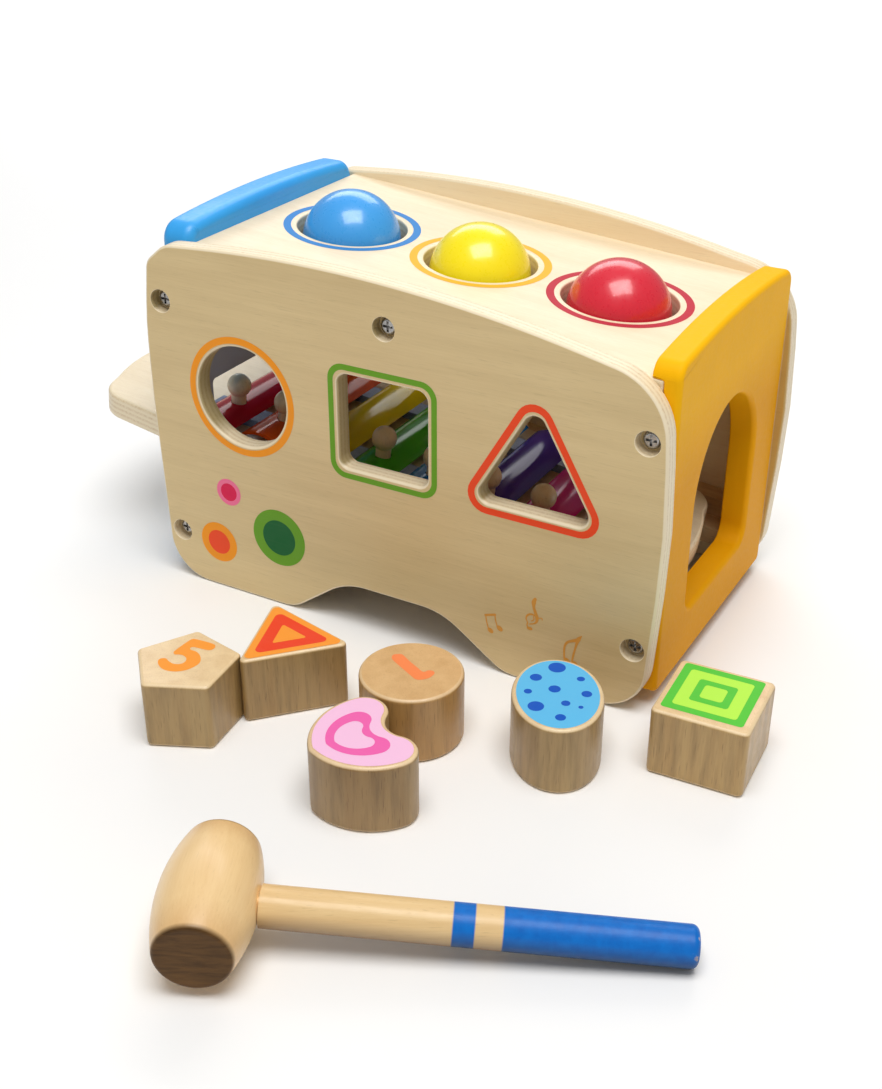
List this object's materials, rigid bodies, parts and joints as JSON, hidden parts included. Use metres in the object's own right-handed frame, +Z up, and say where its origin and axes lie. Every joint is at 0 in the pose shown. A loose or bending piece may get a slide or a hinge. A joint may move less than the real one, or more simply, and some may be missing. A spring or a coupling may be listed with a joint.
{
  "type": "pounding bench",
  "caption": "Bus-shaped wooden pounding bench: balls are knocked through the roof onto a slide-out xylophone, with shape-sorting windows, blocks and a mallet.",
  "frame": {"origin": "middle of the front panel's left foot, on the floor", "axes": "+X along the bench from the tray's handle to the arch, +Y from the front panel to the rear panel, +Z up"},
  "size_m": [0.3854, 0.3684, 0.1768],
  "materials": {
    "birch_ply": "natural birch plywood, clear satin lacquer, printed rings and dots",
    "roof_ply": "natural birch plywood, clear satin lacquer, a printed ring round each hole",
    "blue_paint": "sky blue satin paint on wood",
    "yellow_paint": "warm yellow satin paint on wood",
    "rail_wood": "sawn and sanded bare wood",
    "zinc_steel": "zinc plated",
    "black_rubber": "matt",
    "tray_ply": "natural birch plywood, clear satin lacquer",
    "felt": "blue-grey wool felt",
    "pin_wood": "turned beech, clear lacquer",
    "ball_blue": "gloss paint",
    "ball_yellow": "gloss paint",
    "ball_red": "gloss paint",
    "block_wood": "natural maple with eased edges, clear satin lacquer, printed top face",
    "mallet_wood": "turned hardwood, clear satin lacquer",
    "handle_wood": "turned hardwood with blue painted bands",
    "bar_1": "crimson enamel, glossy",
    "bar_2": "red-orange enamel, glossy",
    "bar_3": "yellow enamel, glossy",
    "bar_4": "green enamel, glossy",
    "bar_5": "blue enamel, glossy",
    "bar_6": "indigo enamel, glossy",
    "bar_7": "magenta enamel, glossy",
    "bar_8": "teal enamel, glossy"
  },
  "bodies": {
    "bench": {"front_panel": "birch_ply", "rear_panel": "birch_ply", "roof_board": "roof_ply", "left_board": "blue_paint", "right_board": "yellow_paint", "tray_rail_front": "rail_wood", "tray_rail_rear": "rail_wood", "panel_screws": "zinc_steel", "grip_ring_blue": "black_rubber", "grip_ring_yellow": "black_rubber", "grip_ring_red": "black_rubber", "grip_ring_screws": "zinc_steel"},
    "xylophone": {"xylophone_tray": "tray_ply", "felt_strip_near": "felt", "felt_strip_far": "felt", "tone_bar_1": "bar_1", "tone_bar_2": "bar_2", "tone_bar_3": "bar_3", "tone_bar_4": "bar_4", "tone_bar_5": "bar_5", "tone_bar_6": "bar_6", "tone_bar_7": "bar_7", "tone_bar_8": "bar_8", "bar_pins": "pin_wood", "bar_nails": "zinc_steel"},
    "blue_ball": {"ball_blue": "ball_blue"},
    "yellow_ball": {"ball_yellow": "ball_yellow"},
    "red_ball": {"ball_red": "ball_red"},
    "circle_block": {"block_circle": "block_wood"},
    "square_block": {"block_square": "block_wood"},
    "triangle_block": {"block_triangle": "block_wood"},
    "pentagon_block": {"block_pentagon": "block_wood"},
    "heart_block": {"block_heart": "block_wood"},
    "oval_block": {"block_oval": "block_wood"},
    "mallet": {"mallet_head": "mallet_wood", "mallet_handle": "handle_wood"}
  },
  "joints": [
    {"name": "xylophone_slide", "type": "slide", "parent": "bench", "child": "xylophone", "axis": [-0.9938, 0, 0.1115], "range_m": [0, 0.235]},
    {"name": "blue_ball_knock", "type": "slide", "parent": "bench", "child": "blue_ball", "axis": [0.08, 0, 0.9968], "range_m": [-0.062, 0.05], "deforming": ["grip_ring_blue"]},
    {"name": "yellow_ball_knock", "type": "slide", "parent": "bench", "child": "yellow_ball", "axis": [0.08, 0, 0.9968], "range_m": [-0.0641, 0.05], "deforming": ["grip_ring_yellow"]},
    {"name": "red_ball_knock", "type": "slide", "parent": "bench", "child": "red_ball", "axis": [0.08, 0, 0.9968], "range_m": [-0.0662, 0.05], "deforming": ["grip_ring_red"]},
    {"name": "circle_block_lift", "type": "slide", "parent": "bench", "child": "circle_block", "axis": [0, 0, 1], "range_m": [0, 0.06]},
    {"name": "square_block_lift", "type": "slide", "parent": "bench", "child": "square_block", "axis": [0, 0, 1], "range_m": [0, 0.06]},
    {"name": "triangle_block_lift", "type": "slide", "parent": "bench", "child": "triangle_block", "axis": [0, 0, 1], "range_m": [0, 0.06]},
    {"name": "pentagon_block_lift", "type": "slide", "parent": "bench", "child": "pentagon_block", "axis": [0, 0, 1], "range_m": [0, 0.06]},
    {"name": "heart_block_lift", "type": "slide", "parent": "bench", "child": "heart_block", "axis": [0, 0, 1], "range_m": [0, 0.06]},
    {"name": "oval_block_lift", "type": "slide", "parent": "bench", "child": "oval_block", "axis": [0, 0, 1], "range_m": [0, 0.06]},
    {"name": "mallet_lift", "type": "slide", "parent": "bench", "child": "mallet", "axis": [0, 0, 1], "range_m": [0, 0.08]}
  ]
}
